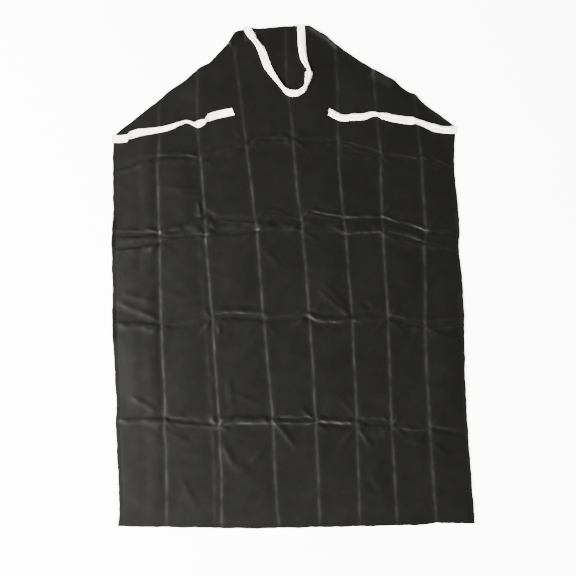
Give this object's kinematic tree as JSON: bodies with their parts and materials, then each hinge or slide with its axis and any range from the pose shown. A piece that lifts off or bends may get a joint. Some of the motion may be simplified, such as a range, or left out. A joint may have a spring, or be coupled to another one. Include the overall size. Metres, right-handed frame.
{
  "type": "lead apron",
  "caption": "Black rubber-coated bib apron laid open with its storage creases, with a neck loop and two waist ties of white tape.",
  "frame": {"origin": "middle of the apron's length and width, on the surface that its back lies on", "axes": "+X across the apron, to the right as its front is seen with the neck up; +Y from the hem to the neck; +Z out of its front"},
  "size_m": [0.9008, 1.3, 0.0025],
  "materials": {
    "cover_rubber": "creased black rubber-coated cloth, soft semi-gloss",
    "core_vinyl": "dull grey lead-filled vinyl",
    "back_fabric": "matte black plain-weave backing cloth",
    "cotton_tape": "matte warm white woven cotton tape",
    "thread": "black sewing thread"
  },
  "bodies": {
    "bib": {"front_cover_upper": "cover_rubber", "core_upper": "core_vinyl", "back_cover_upper": "back_fabric", "neck_left_tab": "cotton_tape", "neck_right_tab": "cotton_tape", "left_tie_tab": "cotton_tape", "right_tie_tab": "cotton_tape", "neck_left_stitching": "thread", "neck_right_stitching": "thread", "left_tie_stitching": "thread", "right_tie_stitching": "thread"},
    "middle_panel": {"front_cover_middle": "cover_rubber", "core_middle": "core_vinyl", "back_cover_middle": "back_fabric"},
    "lower_panel": {"front_cover_lower": "cover_rubber", "core_lower": "core_vinyl", "back_cover_lower": "back_fabric"},
    "neck_loop": {"neck_loop": "cotton_tape"},
    "left_tie": {"left_tie": "cotton_tape"},
    "right_tie": {"right_tie": "cotton_tape"}
  },
  "joints": [
    {"name": "middle_fold", "type": "hinge", "parent": "bib", "child": "middle_panel", "pos_m": [0, -0.135, 0.00195], "axis": [-1, 0, 0], "range_deg": [0, 170]},
    {"name": "lower_fold", "type": "hinge", "parent": "middle_panel", "child": "lower_panel", "pos_m": [0, -0.395, -0.00015], "axis": [-1, 0, 0], "range_deg": [-170, 0]},
    {"name": "neck_loop_flip", "type": "hinge", "parent": "bib", "child": "neck_loop", "pos_m": [-0.0195, 0.65, 0.0023], "axis": [-1, 0, 0], "range_deg": [0, 175]},
    {"name": "left_tie_flip", "type": "hinge", "parent": "bib", "child": "left_tie", "pos_m": [-0.4504, 0.355, 0.0023], "axis": [0, -1, 0], "range_deg": [0, 175]},
    {"name": "right_tie_flip", "type": "hinge", "parent": "bib", "child": "right_tie", "pos_m": [0.4504, 0.354, 0.0023], "axis": [0, 1, 0], "range_deg": [0, 175]}
  ],
  "couplings": [
    {"joint": "lower_fold", "follows": "middle_fold", "ratio": -1}
  ]
}
